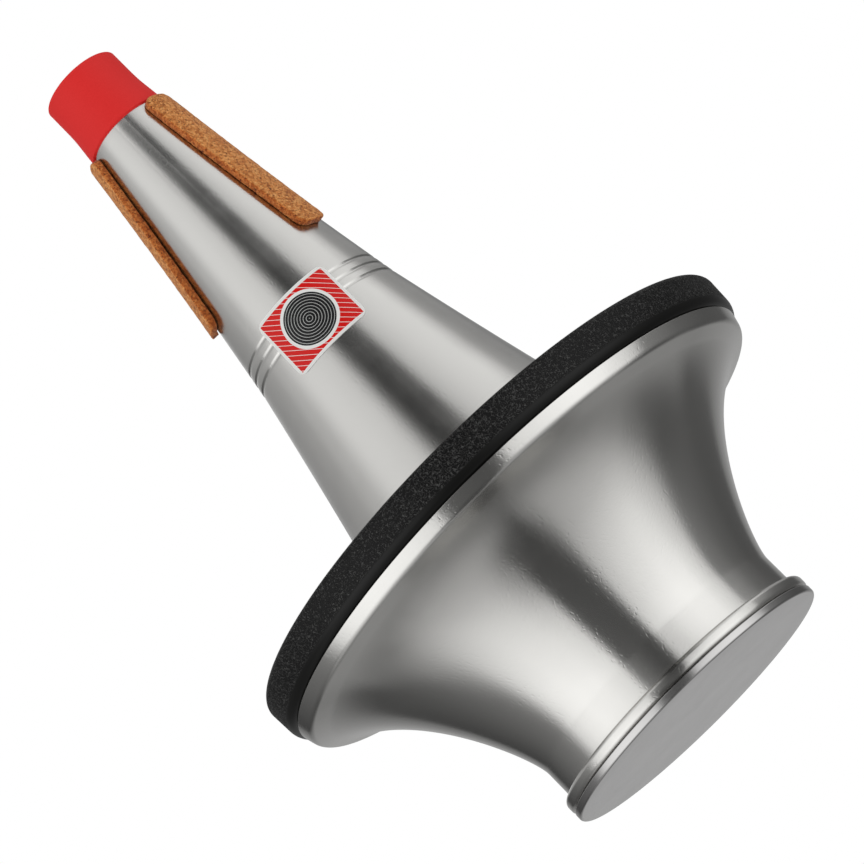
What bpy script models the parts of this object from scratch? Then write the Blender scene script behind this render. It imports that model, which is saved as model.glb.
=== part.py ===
"""Bass trombone cup mute, modelled as separate pieces.

The mute stands on its closed end. +Z runs up the axis to the open throat, and the
origin is the centre of the end plate's outer face. The side with the label faces -Y.
All lengths are metres. Outlines are lists of (radius, height) points.
"""

import math

import bmesh
import bpy

# Fits and fineness
GAP = 0.0003  # clearance between pieces that touch or slide
SIDES = 48  # facets around a turned piece
CONE_STEPS = 4  # straight runs along each cone
FLARE_STEPS = 9  # straight runs along the cup's flare
ROUND_STEPS = 2  # straight runs in a rounded edge

# End plate
PLATE_SHEET = 0.0010
PLATE_LIP = 0.0072  # how far the rolled rim stands out from the barrel
PLATE_RIM_HEIGHT = 0.0028
PLATE_EDGE_ROUND = 0.0010
PLATE_FLANGE_HEIGHT = 0.0090  # upstand inside the barrel, above the rim

# Slide barrel
BARREL_RADIUS = 0.0473
BARREL_WALL = 0.0010
BARREL_LENGTH = 0.1075

# Cones
CONE_WALL = 0.0009
REAR_CONE_LENGTH = 0.0715
REAR_CONE_BOW = -0.00026  # how far the side bows out at half length
REAR_SKIRT_LENGTH = 0.0120  # inside the barrel
FRONT_CONE_LENGTH = 0.1052
FRONT_CONE_BOW = -0.0006
SEAM_RADIUS = 0.0315
SEAM_LAP = 0.0120  # rear cone inside the front cone
THROAT_SHOULDER_RADIUS = 0.0163
GROOVE_COUNT = 2
GROOVE_PITCH = 0.00415
GROOVE_WIDTH = 0.0020
GROOVE_DEPTH = 0.0005

# Throat sleeve
SLEEVE_LENGTH = 0.0262
SLEEVE_BASE_RADIUS = 0.0170
SLEEVE_TIP_RADIUS = 0.0157
SLEEVE_TAPER_LENGTH = 0.0150
SLEEVE_EDGE_ROUND = 0.0010
SLEEVE_LIP = 0.0015  # end wall over the throat tube's edge
THROAT_TUBE_RADIUS = 0.0139

# Cork strips
CORK_LENGTH = 0.0766
CORK_WIDTH = 0.0130
CORK_THICKNESS = 0.0030
CORK_CORNER = 0.0036
CORK_SETBACKS = (0.0003, 0.0009, 0.0012)  # from the sleeve's base
CORK_AZIMUTHS = (-29.8, -166.7, 83.0)  # degrees from +X, as glued by hand
CORK_COLUMNS = 6
CORK_RUNS = 5

# Label
LABEL_HEIGHT = 0.0258
LABEL_WIDTH = 0.0325
LABEL_THICKNESS = 0.0002
LABEL_CORNER = 0.0030
LABEL_AZIMUTH = -91.5
LABEL_COLUMNS = 8

# Neck lining
LINING_THICKNESS = 0.0026
LINING_LENGTH = 0.0120
LINING_SETBACK = 0.0010  # from the cup's lower end

# Cup
CUP_WALL = 0.0009
BEAD_DEPTH = 0.0032
BEAD_HEIGHT = 0.0049
BEAD_ROUND = 0.0020
NECK_LENGTH = 0.0137  # from the cup's lower end to where the flare starts
CUP_DEPTH = 0.0829  # from the cup's lower end to its rim
SHOULDER_RADIUS = 0.1011
FLARE_START_PULL = 0.0145
FLARE_END_PULL = 0.0287
FLARE_END_ANGLE = 76.5  # degrees from the axis
BAND_HEIGHT = 0.0039
BAND_RADIUS = 0.1024
RIM_FLANGE_WIDTH = 0.0115

# Rim cushion
CUSHION_RADIUS = 0.1050
CUSHION_TAPER = 0.0009
CUSHION_WIDTH = 0.0150
CUSHION_HEIGHT = 0.0141
CUSHION_ROUND = 0.0020
CUSHION_LOW_ROUND = 0.0040  # the outer edge beside the cup

# Heights of the stack, from the end plate's face upwards
SEAT = PLATE_RIM_HEIGHT + GAP
BARREL_TOP = SEAT + BARREL_LENGTH
REAR_BASE = BARREL_TOP + GAP
SEAM = REAR_BASE + REAR_CONE_LENGTH
FRONT_BASE = SEAM + GAP
FRONT_TOP = FRONT_BASE + FRONT_CONE_LENGTH
SLEEVE_BASE = FRONT_TOP + GAP
SLEEVE_TOP = SLEEVE_BASE + SLEEVE_LENGTH
CUP_RIM = SEAT + CUP_DEPTH

# Radii that follow from the fits
NECK_INNER = BARREL_RADIUS + GAP + LINING_THICKNESS + GAP
NECK_OUTER = NECK_INNER + CUP_WALL
BARREL_INNER = BARREL_RADIUS - BARREL_WALL
INSIDE_BARREL = BARREL_INNER - GAP


def clear_scene():
    """Remove whatever the file holds."""
    for item in list(bpy.data.objects):
        bpy.data.objects.remove(item, do_unlink=True)


def arc(centre_r, centre_z, radius, start, end, steps=ROUND_STEPS):
    """Points on a round edge; angles in degrees, 0 outwards and 90 upwards."""
    points = []
    for step in range(steps + 1):
        angle = math.radians(start + (end - start) * step / steps)
        points.append((centre_r + radius * math.cos(angle), centre_z + radius * math.sin(angle)))
    return points


def bezier(first, second, third, fourth, steps):
    """Points on a cubic curve through its two end points."""
    points = []
    for step in range(steps + 1):
        t = step / steps
        weights = ((1 - t) ** 3, 3 * t * (1 - t) ** 2, 3 * t * t * (1 - t), t**3)
        corners = (first, second, third, fourth)
        points.append(tuple(sum(w * c[axis] for w, c in zip(weights, corners)) for axis in (0, 1)))
    return points


def beside(points, distance):
    """The line that runs beside another on its left, at a constant distance."""
    line = []
    last = len(points) - 1
    for index, (radius, height) in enumerate(points):
        before = points[max(index - 1, 0)]
        after = points[min(index + 1, last)]
        along_in = unit(radius - before[0], height - before[1]) if index else None
        along_out = unit(after[0] - radius, after[1] - height) if index < last else None
        normals = [(-step[1], step[0]) for step in (along_in, along_out) if step]
        middle = unit(sum(n[0] for n in normals), sum(n[1] for n in normals))
        stretch = distance / (middle[0] * normals[0][0] + middle[1] * normals[0][1])
        line.append((radius + middle[0] * stretch, height + middle[1] * stretch))
    return line


def unit(x, y):
    """A direction of length one."""
    length = math.hypot(x, y)
    return (x / length, y / length)


def rear_radius(height):
    """Outer radius of the rear cone at a height."""
    share = (height - REAR_BASE) / REAR_CONE_LENGTH
    straight = BARREL_RADIUS + (SEAM_RADIUS - BARREL_RADIUS) * share
    return straight + 4 * REAR_CONE_BOW * share * (1 - share)


def front_radius(height):
    """Outer radius of the front cone at a height, without its grooves."""
    share = (height - FRONT_BASE) / FRONT_CONE_LENGTH
    straight = SEAM_RADIUS + (THROAT_SHOULDER_RADIUS - SEAM_RADIUS) * share
    return straight + 4 * FRONT_CONE_BOW * share * (1 - share)


def body_radius(height):
    """Outer radius of the two cones together."""
    return rear_radius(height) if height < SEAM else front_radius(height)


def material(name, colour, roughness, metallic):
    """A plain finish for one piece."""
    finish = bpy.data.materials.new(name)
    finish.use_nodes = True
    shader = finish.node_tree.nodes["Principled BSDF"]
    shader.inputs["Base Color"].default_value = (*colour, 1.0)
    shader.inputs["Roughness"].default_value = roughness
    shader.inputs["Metallic"].default_value = metallic
    return finish


def carrier(name):
    """An empty on the mute's axis that carries the pieces of one body."""
    empty = bpy.data.objects.new(name, None)
    bpy.context.scene.collection.objects.link(empty)
    return empty


def finish_piece(name, shape, finish, parent):
    """Turn a bmesh into a named object with smooth rounds and sharp edges."""
    bmesh.ops.remove_doubles(shape, verts=shape.verts[:], dist=1e-7)
    bmesh.ops.recalc_face_normals(shape, faces=shape.faces[:])
    mesh = bpy.data.meshes.new(name)
    shape.to_mesh(mesh)
    shape.free()
    mesh.shade_smooth()
    mesh.set_sharp_from_angle(angle=math.radians(35))
    mesh.materials.append(finish)
    piece = bpy.data.objects.new(name, mesh)
    piece.parent = parent
    bpy.context.scene.collection.objects.link(piece)
    return piece


def turned(name, outline, finish, parent):
    """A body of revolution about Z from a closed outline."""
    shape = bmesh.new()
    points = [shape.verts.new((radius, 0.0, height)) for radius, height in outline]
    edges = [shape.edges.new((a, b)) for a, b in zip(points, points[1:])]
    if outline[0][0] > 0:
        edges.append(shape.edges.new((points[-1], points[0])))
    bmesh.ops.spin(
        shape,
        geom=points + edges,
        cent=(0, 0, 0),
        axis=(0, 0, 1),
        angle=math.tau,
        steps=SIDES,
        use_merge=True,
    )
    return finish_piece(name, shape, finish, parent)


def half_width(distance, length, width, corner):
    """Half the width of a strip with rounded corners, at a distance from its end."""
    from_end = min(distance, length - distance)
    inset = max(corner - from_end, 0.0)
    return width / 2 - corner + math.sqrt(max(corner**2 - inset**2, 0.0))


def wrapped_strip(name, heights, base, length, width, corner, thickness, azimuth, columns, finish, parent):
    """A strip that lies round the cones, its long or short side along the axis."""
    shape = bmesh.new()
    rows = []
    for height in heights:
        seat = body_radius(height) + GAP
        half = half_width(height - base, length, width, corner)
        row = []
        for column in range(columns + 1):
            across = half * (2 * column / columns - 1)
            angle = math.radians(azimuth) + across / seat
            row.append(shape.verts.new((seat * math.cos(angle), seat * math.sin(angle), height)))
        rows.append(row)
    for low, high in zip(rows, rows[1:]):
        for column in range(columns):
            shape.faces.new((low[column], low[column + 1], high[column + 1], high[column]))
    grown = bmesh.ops.extrude_face_region(shape, geom=shape.faces[:], use_keep_orig=True)
    for vert in [item for item in grown["geom"] if isinstance(item, bmesh.types.BMVert)]:
        radius = math.hypot(vert.co.x, vert.co.y)
        vert.co.x *= (radius + thickness) / radius
        vert.co.y *= (radius + thickness) / radius
    return finish_piece(name, shape, finish, parent)


def strip_heights(base, length, corner, runs, extra=()):
    """Heights of a strip's rows: close together in its rounded corners."""
    corner_steps = [corner * (1 - math.cos(math.radians(angle))) for angle in (0, 45, 90)]
    start = [base + step for step in corner_steps]
    end = [base + length - step for step in reversed(corner_steps)]
    middle = [start[-1] + (end[0] - start[-1]) * run / runs for run in range(1, runs)]
    return sorted(start + middle + end + list(extra))


def end_plate_outline():
    """The closed end: a disc with a rolled rim and an upstand inside the barrel."""
    rim = BARREL_RADIUS + PLATE_LIP
    flange_top = PLATE_RIM_HEIGHT + PLATE_FLANGE_HEIGHT
    edge = arc(rim - PLATE_EDGE_ROUND, PLATE_EDGE_ROUND, PLATE_EDGE_ROUND, -90, 0)
    upstand = [
        (rim, PLATE_RIM_HEIGHT),
        (INSIDE_BARREL, PLATE_RIM_HEIGHT),
        (INSIDE_BARREL, flange_top),
        (INSIDE_BARREL - PLATE_SHEET, flange_top),
        (INSIDE_BARREL - PLATE_SHEET, PLATE_SHEET),
    ]
    return [(0.0, 0.0)] + edge + upstand + [(0.0, PLATE_SHEET)]


def barrel_outline():
    """The tube that the cup slides on."""
    return [
        (BARREL_INNER, SEAT),
        (BARREL_RADIUS, SEAT),
        (BARREL_RADIUS, BARREL_TOP),
        (BARREL_INNER, BARREL_TOP),
    ]


def rear_cone_outline():
    """The wide cone: its skirt goes into the barrel and its neck into the front cone."""
    lap_step = CONE_WALL + GROOVE_DEPTH + GAP
    heights = [REAR_BASE + REAR_CONE_LENGTH * step / CONE_STEPS for step in range(CONE_STEPS + 1)]
    outer = [(rear_radius(height), height) for height in heights]
    lap_top = SEAM + SEAM_LAP
    lap = [(SEAM_RADIUS - lap_step, SEAM), (front_radius(lap_top) - lap_step, lap_top)]
    lap_inner = [(radius - CONE_WALL, height) for radius, height in lap]
    turn_in = lap_step + CONE_WALL
    inner = [(radius - CONE_WALL, height) for radius, height in outer[:-1]]
    inner[0] = (INSIDE_BARREL - CONE_WALL, REAR_BASE + CONE_WALL)
    skirt_end = REAR_BASE - REAR_SKIRT_LENGTH
    skirt = [(INSIDE_BARREL - CONE_WALL, skirt_end), (INSIDE_BARREL, skirt_end), (INSIDE_BARREL, REAR_BASE)]
    corner = [(lap_inner[0][0], SEAM - CONE_WALL), (rear_radius(SEAM - turn_in) - CONE_WALL, SEAM - turn_in)]
    return outer + lap + [lap_inner[1]] + corner + inner[::-1] + skirt


def front_cone_outline():
    """The narrow cone, with its rolled grooves and the throat tube under the sleeve."""
    outer = [(front_radius(FRONT_BASE), FRONT_BASE)]
    for groove in range(1, GROOVE_COUNT + 1):
        middle = SEAM + GROOVE_PITCH * groove
        for offset, depth in ((-0.5, 0.0), (-0.15, 1.0), (0.15, 1.0), (0.5, 0.0)):
            height = middle + offset * GROOVE_WIDTH
            outer.append((front_radius(height) - depth * GROOVE_DEPTH, height))
    plain_start = outer[-1][1]
    plain_run = FRONT_TOP - plain_start
    for step in range(1, CONE_STEPS + 1):
        height = plain_start + plain_run * step / CONE_STEPS
        outer.append((front_radius(height), height))
    inner = [(radius - CONE_WALL, height) for radius, height in outer[:-1]]
    bore = THROAT_TUBE_RADIUS - CONE_WALL
    turn_in = THROAT_SHOULDER_RADIUS - THROAT_TUBE_RADIUS
    turn_height = FRONT_TOP - CONE_WALL - turn_in
    tube_top = SLEEVE_TOP - SLEEVE_LIP - GAP
    tube = [
        (THROAT_TUBE_RADIUS, FRONT_TOP),
        (THROAT_TUBE_RADIUS, tube_top),
        (bore, tube_top),
        (bore, FRONT_TOP - CONE_WALL),
        (front_radius(turn_height) - CONE_WALL, turn_height),
    ]
    return outer + tube + inner[::-1]


def sleeve_outline():
    """The coloured sleeve over the throat tube, with a lip over the tube's edge."""
    inner = THROAT_TUBE_RADIUS + GAP
    bore = THROAT_TUBE_RADIUS - CONE_WALL
    taper_top = SLEEVE_BASE + SLEEVE_TAPER_LENGTH
    middle = SLEEVE_BASE + SLEEVE_TAPER_LENGTH / 2
    side = bezier(
        (SLEEVE_BASE_RADIUS, SLEEVE_BASE),
        ((SLEEVE_BASE_RADIUS + SLEEVE_TIP_RADIUS) / 2, middle),
        (SLEEVE_TIP_RADIUS, middle),
        (SLEEVE_TIP_RADIUS, taper_top),
        ROUND_STEPS,
    )
    edge = arc(SLEEVE_TIP_RADIUS - SLEEVE_EDGE_ROUND, SLEEVE_TOP - SLEEVE_EDGE_ROUND, SLEEVE_EDGE_ROUND, 0, 90)
    lip = SLEEVE_TOP - SLEEVE_LIP
    return side + edge + [(bore, SLEEVE_TOP), (bore, lip), (inner, lip), (inner, SLEEVE_BASE)]


def lining_outline():
    """The friction lining glued inside the cup's neck."""
    inner = BARREL_RADIUS + GAP
    outer = inner + LINING_THICKNESS
    base = SEAT + LINING_SETBACK
    return [(inner, base), (outer, base), (outer, base + LINING_LENGTH), (inner, base + LINING_LENGTH)]


def cup_outline():
    """The spun cup: rolled bead, neck, flare, shoulder, band and in-turned rim flange."""
    bead_radius = NECK_OUTER + BEAD_DEPTH
    bead_top = SEAT + BEAD_HEIGHT
    round_centre = bead_radius - BEAD_ROUND
    bead = arc(round_centre, SEAT + BEAD_ROUND, BEAD_ROUND, -90, 0)
    bead += arc(round_centre, bead_top - BEAD_ROUND, BEAD_ROUND, 0, 90)
    flare_start = (NECK_OUTER, SEAT + NECK_LENGTH)
    shoulder = (SHOULDER_RADIUS, CUP_RIM - BAND_HEIGHT)
    end_angle = math.radians(FLARE_END_ANGLE)
    flare_end_pull = (
        shoulder[0] - FLARE_END_PULL * math.sin(end_angle),
        shoulder[1] - FLARE_END_PULL * math.cos(end_angle),
    )
    flare_start_pull = (NECK_OUTER, flare_start[1] + FLARE_START_PULL)
    flare = bezier(flare_start, flare_start_pull, flare_end_pull, shoulder, FLARE_STEPS)
    flange_inner = BAND_RADIUS - CUP_WALL - RIM_FLANGE_WIDTH
    inside = beside([(NECK_OUTER, bead_top)] + flare + [(BAND_RADIUS, CUP_RIM)], CUP_WALL)[1:-1]
    flange = [
        (BAND_RADIUS, CUP_RIM),
        (flange_inner, CUP_RIM),
        (flange_inner, CUP_RIM - CUP_WALL),
        (BAND_RADIUS - CUP_WALL, CUP_RIM - CUP_WALL),
    ]
    neck = [(NECK_OUTER, bead_top)]
    return bead + neck + flare + flange + inside[::-1] + [(NECK_INNER, SEAT)]


def cushion_outline():
    """The soft ring glued to the cup's rim."""
    base = CUP_RIM + GAP
    top = base + CUSHION_HEIGHT
    outer_low = CUSHION_RADIUS - CUSHION_TAPER
    inner = CUSHION_RADIUS - CUSHION_WIDTH
    low_edge = arc(outer_low - CUSHION_LOW_ROUND, base + CUSHION_LOW_ROUND, CUSHION_LOW_ROUND, -90, 0)
    high_edge = arc(CUSHION_RADIUS - CUSHION_ROUND, top - CUSHION_ROUND, CUSHION_ROUND, 0, 90)
    inner_edge = arc(inner + CUSHION_ROUND, top - CUSHION_ROUND, CUSHION_ROUND, 90, 180)
    return low_edge + high_edge + inner_edge + [(inner, base)]


def build_body(metal, red, cork, paper):
    """The straight mute: plate, barrel, cones, sleeve, corks and label."""
    body = carrier("mute_body")
    turned("end_plate", end_plate_outline(), metal, body)
    turned("slide_barrel", barrel_outline(), metal, body)
    turned("rear_cone", rear_cone_outline(), metal, body)
    turned("front_cone", front_cone_outline(), metal, body)
    turned("throat_sleeve", sleeve_outline(), red, body)
    for number, (azimuth, setback) in enumerate(zip(CORK_AZIMUTHS, CORK_SETBACKS), start=1):
        cork_base = SLEEVE_BASE - setback - CORK_LENGTH
        wrapped_strip(
            f"cork_strip_{number}",
            strip_heights(cork_base, CORK_LENGTH, CORK_CORNER, CORK_RUNS),
            cork_base,
            CORK_LENGTH,
            CORK_WIDTH,
            CORK_CORNER,
            CORK_THICKNESS,
            azimuth,
            CORK_COLUMNS,
            cork,
            body,
        )
    label_base = SEAM - LABEL_HEIGHT / 2
    wrapped_strip(
        "cone_label",
        strip_heights(label_base, LABEL_HEIGHT, LABEL_CORNER, 1, extra=(SEAM - GAP, FRONT_BASE + GAP)),
        label_base,
        LABEL_HEIGHT,
        LABEL_WIDTH,
        LABEL_CORNER,
        LABEL_THICKNESS,
        LABEL_AZIMUTH,
        LABEL_COLUMNS,
        paper,
        body,
    )


def build_cup(metal, felt, foam):
    """The adjustable cup and the lining it slides on."""
    collar = carrier("cup_collar")
    turned("neck_lining", lining_outline(), felt, collar)
    cup = carrier("cup")
    cup.parent = collar
    turned("cup_bell", cup_outline(), metal, cup)
    turned("rim_cushion", cushion_outline(), foam, cup)


def main():
    clear_scene()
    metal = material("spun_aluminium", (0.77, 0.77, 0.76), 0.32, 1.0)
    red = material("red_rubber", (0.66, 0.03, 0.03), 0.55, 0.0)
    cork = material("cork", (0.52, 0.21, 0.08), 0.85, 0.0)
    paper = material("label_vinyl", (0.80, 0.75, 0.73), 0.4, 0.0)
    felt = material("grey_felt", (0.18, 0.18, 0.17), 0.95, 0.0)
    foam = material("black_foam_rubber", (0.02, 0.02, 0.02), 0.9, 0.0)
    build_body(metal, red, cork, paper)
    build_cup(metal, felt, foam)


main()
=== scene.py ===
"""Looks of a bass trombone cup mute.

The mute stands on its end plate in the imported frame: +Z runs up its axis to the open
throat, and the side with the label faces -Y. The metal is spun on a lathe, so each
metal piece is turned here from its outline, as the real one is. Lengths are metres.
"""

import logging
import math
from dataclasses import dataclass
from enum import Enum

import bpy
from mathutils import Matrix, Vector, noise


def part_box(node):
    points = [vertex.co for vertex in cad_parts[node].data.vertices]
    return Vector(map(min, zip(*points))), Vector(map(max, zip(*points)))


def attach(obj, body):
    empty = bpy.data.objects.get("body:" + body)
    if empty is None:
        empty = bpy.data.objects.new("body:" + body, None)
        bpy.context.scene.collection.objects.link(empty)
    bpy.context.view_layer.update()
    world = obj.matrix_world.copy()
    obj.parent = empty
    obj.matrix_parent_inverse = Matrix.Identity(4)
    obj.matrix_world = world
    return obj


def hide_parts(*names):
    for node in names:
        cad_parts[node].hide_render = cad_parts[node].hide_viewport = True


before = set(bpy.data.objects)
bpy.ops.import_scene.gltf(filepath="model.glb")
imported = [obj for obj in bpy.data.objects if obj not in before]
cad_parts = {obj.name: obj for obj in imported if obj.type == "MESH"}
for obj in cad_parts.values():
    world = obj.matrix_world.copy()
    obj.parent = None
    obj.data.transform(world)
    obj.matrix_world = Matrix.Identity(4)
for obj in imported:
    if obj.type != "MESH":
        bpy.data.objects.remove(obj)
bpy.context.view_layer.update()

LOG = logging.getLogger("cup_mute")
MM = 0.001
MERGE = 1e-7


class Body(Enum):
    """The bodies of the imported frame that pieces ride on."""

    MUTE = "mute_body"
    COLLAR = "cup_collar"
    CUP = "cup"


class Slot(Enum):
    """The record's material slots."""

    METAL = "spun_aluminium"
    PLATE = "plate_aluminium"
    RED = "red_rubber"
    CORK = "cork"
    LABEL = "label_vinyl"
    FELT = "grey_felt"
    FOAM = "black_foam_rubber"


def linear(hex_colour: str) -> tuple[float, float, float, float]:
    """Turn an sRGB hex colour into Blender's linear colour.

    Args:
        hex_colour: six hex digits after a hash sign.

    Returns:
        Red, green, blue and alpha, linear.
    """
    channels = [int(hex_colour[i : i + 2], 16) / 255 for i in (1, 3, 5)]
    bent = [c / 12.92 if c <= 0.04045 else ((c + 0.055) / 1.055) ** 2.4 for c in channels]
    return (bent[0], bent[1], bent[2], 1.0)


def add_node(
    tree: bpy.types.NodeTree,
    kind: str,
    settings: dict[str, object] | None = None,
    values: dict[str | int, object] | None = None,
) -> bpy.types.Node:
    """Add one shader node with its settings, values and incoming links.

    Args:
        tree: the node tree that takes the node.
        kind: the node's type name.
        settings: properties of the node itself.
        values: input sockets by name or number, each a constant or a socket to link.

    Returns:
        The new node.
    """
    node = tree.nodes.new(kind)
    for name, setting in (settings or {}).items():
        setattr(node, name, setting)
    for name, value in (values or {}).items():
        if isinstance(value, bpy.types.NodeSocket):
            tree.links.new(value, node.inputs[name])
        else:
            node.inputs[name].default_value = value
    return node


def ramp_stops(node: bpy.types.Node, stops: list[tuple[float, str]]) -> None:
    """Set the stops of a colour ramp.

    Args:
        node: a colour ramp node.
        stops: positions and sRGB hex colours, in order.
    """
    elements = node.color_ramp.elements
    while len(elements) < len(stops):
        elements.new(0.5)
    for element, (position, colour) in zip(elements, stops):
        element.position = position
        element.color = linear(colour)


def new_material(name: str) -> tuple[bpy.types.Material, bpy.types.NodeTree, bpy.types.Node]:
    """Make an empty material with a Principled shader.

    Args:
        name: the material's name.

    Returns:
        The material, its node tree and its shader.
    """
    material = bpy.data.materials.new(name)
    material.use_nodes = True
    tree = material.node_tree
    return material, tree, tree.nodes["Principled BSDF"]


@dataclass(frozen=True)
class SpunAluminium:
    """Aluminium sheet spun on a lathe and left satin.

    The spinning tool and the abrasive leave fine rings round the axis. They stretch
    each reflection along the mute and keep it sharp round the mute, so the eye sees
    long soft bars of light from end to end, with faint lines across them.
    """

    name: str
    colour: str = "#CBCAC7"
    roughness: float = 0.20
    anisotropy: float = 1.0
    ring_spacing: float = 0.45 * MM
    ring_length: float = 25 * MM
    ring_relief: float = 0.08
    grain: float = 1.1 * MM
    grain_share: float = 7.0
    dent: float = 1.0 * MM
    dent_share: float = -6.0
    lean: float = -1.0

    def make(self) -> bpy.types.Material:
        """Build the material; lean is -1 where the radius falls with height, else 1."""
        material, tree, shader = new_material(self.name)
        place = add_node(tree, "ShaderNodeTexCoord").outputs["Object"]
        apart = add_node(tree, "ShaderNodeSeparateXYZ", values={0: place})
        flat = add_node(tree, "ShaderNodeCombineXYZ", values={0: apart.outputs[0], 1: apart.outputs[1]})
        radius = add_node(tree, "ShaderNodeVectorMath", {"operation": "LENGTH"}, {0: flat.outputs[0]})
        along = add_node(
            tree,
            "ShaderNodeMath",
            {"operation": "MULTIPLY_ADD"},
            {0: radius.outputs["Value"], 1: self.lean, 2: apart.outputs[2]},
        )
        across = add_node(
            tree,
            "ShaderNodeVectorMath",
            {"operation": "SCALE"},
            {0: flat.outputs[0], "Scale": self.ring_spacing / self.ring_length},
        )
        lifted = add_node(tree, "ShaderNodeCombineXYZ", values={2: along.outputs[0]})
        ring_place = add_node(
            tree,
            "ShaderNodeVectorMath",
            {"operation": "ADD"},
            {0: across.outputs[0], 1: lifted.outputs[0]},
        )
        rings = add_node(
            tree,
            "ShaderNodeTexNoise",
            values={"Vector": ring_place.outputs[0], "Scale": 1 / self.ring_spacing, "Detail": 4.0, "Roughness": 0.6},
        )
        clouds = add_node(
            tree,
            "ShaderNodeTexNoise",
            values={"Vector": place, "Scale": 60.0, "Detail": 3.0, "Roughness": 0.55},
        )
        wear = add_node(
            tree,
            "ShaderNodeMath",
            {"operation": "MULTIPLY_ADD"},
            {0: clouds.outputs["Fac"], 1: 0.10, 2: self.roughness - 0.07},
        )
        gloss = add_node(
            tree,
            "ShaderNodeMath",
            {"operation": "MULTIPLY_ADD"},
            {0: rings.outputs["Fac"], 1: 0.04, 2: wear.outputs[0]},
        )
        grain = add_node(
            tree, "ShaderNodeTexNoise", values={"Vector": place, "Scale": 1 / self.grain, "Detail": 2.0}
        )
        surface = add_node(
            tree,
            "ShaderNodeMath",
            {"operation": "MULTIPLY_ADD"},
            {0: grain.outputs["Fac"], 1: self.grain_share, 2: rings.outputs["Fac"]},
        )
        spots = add_node(tree, "ShaderNodeTexNoise", values={"Vector": place, "Scale": 1 / self.dent, "Detail": 0.0})
        dents = add_node(
            tree,
            "ShaderNodeMapRange",
            {"interpolation_type": "SMOOTHSTEP"},
            {0: spots.outputs["Fac"], 1: 0.66, 2: 0.78},
        )
        dented = add_node(
            tree,
            "ShaderNodeMath",
            {"operation": "MULTIPLY_ADD"},
            {0: dents.outputs[0], 1: self.dent_share, 2: surface.outputs[0]},
        )
        bump = add_node(
            tree,
            "ShaderNodeBump",
            values={"Strength": self.ring_relief, "Distance": 0.02 * MM, "Height": dented.outputs[0]},
        )
        turning = add_node(tree, "ShaderNodeTangent", {"direction_type": "RADIAL", "axis": "Z"})
        shader.inputs["Base Color"].default_value = linear(self.colour)
        shader.inputs["Metallic"].default_value = 1.0
        shader.inputs["Anisotropic"].default_value = self.anisotropy
        shader.inputs["Anisotropic Rotation"].default_value = 0.25
        tree.links.new(gloss.outputs[0], shader.inputs["Roughness"])
        tree.links.new(bump.outputs[0], shader.inputs["Normal"])
        tree.links.new(turning.outputs[0], shader.inputs["Tangent"])
        return material


@dataclass(frozen=True)
class MouldedRubber:
    """Red rubber, moulded and slightly chalky, which gives a flat saturated red."""

    name: str
    colours: tuple[str, str] = ("#DE2220", "#E32826")
    roughness: float = 0.65
    grain: float = 0.5 * MM

    def make(self) -> bpy.types.Material:
        """Build the material."""
        material, tree, shader = new_material(self.name)
        place = add_node(tree, "ShaderNodeTexCoord").outputs["Object"]
        grain = add_node(
            tree, "ShaderNodeTexNoise", values={"Vector": place, "Scale": 1 / self.grain, "Detail": 3.0}
        )
        tint = add_node(tree, "ShaderNodeValToRGB", values={0: grain.outputs["Fac"]})
        ramp_stops(tint, [(0.3, self.colours[0]), (0.7, self.colours[1])])
        bump = add_node(
            tree,
            "ShaderNodeBump",
            values={"Strength": 0.15, "Distance": 0.03 * MM, "Height": grain.outputs["Fac"]},
        )
        shader.inputs["Roughness"].default_value = self.roughness
        shader.inputs["Specular IOR Level"].default_value = 0.3
        tree.links.new(tint.outputs[0], shader.inputs["Base Color"])
        tree.links.new(bump.outputs[0], shader.inputs["Normal"])
        return material


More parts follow.
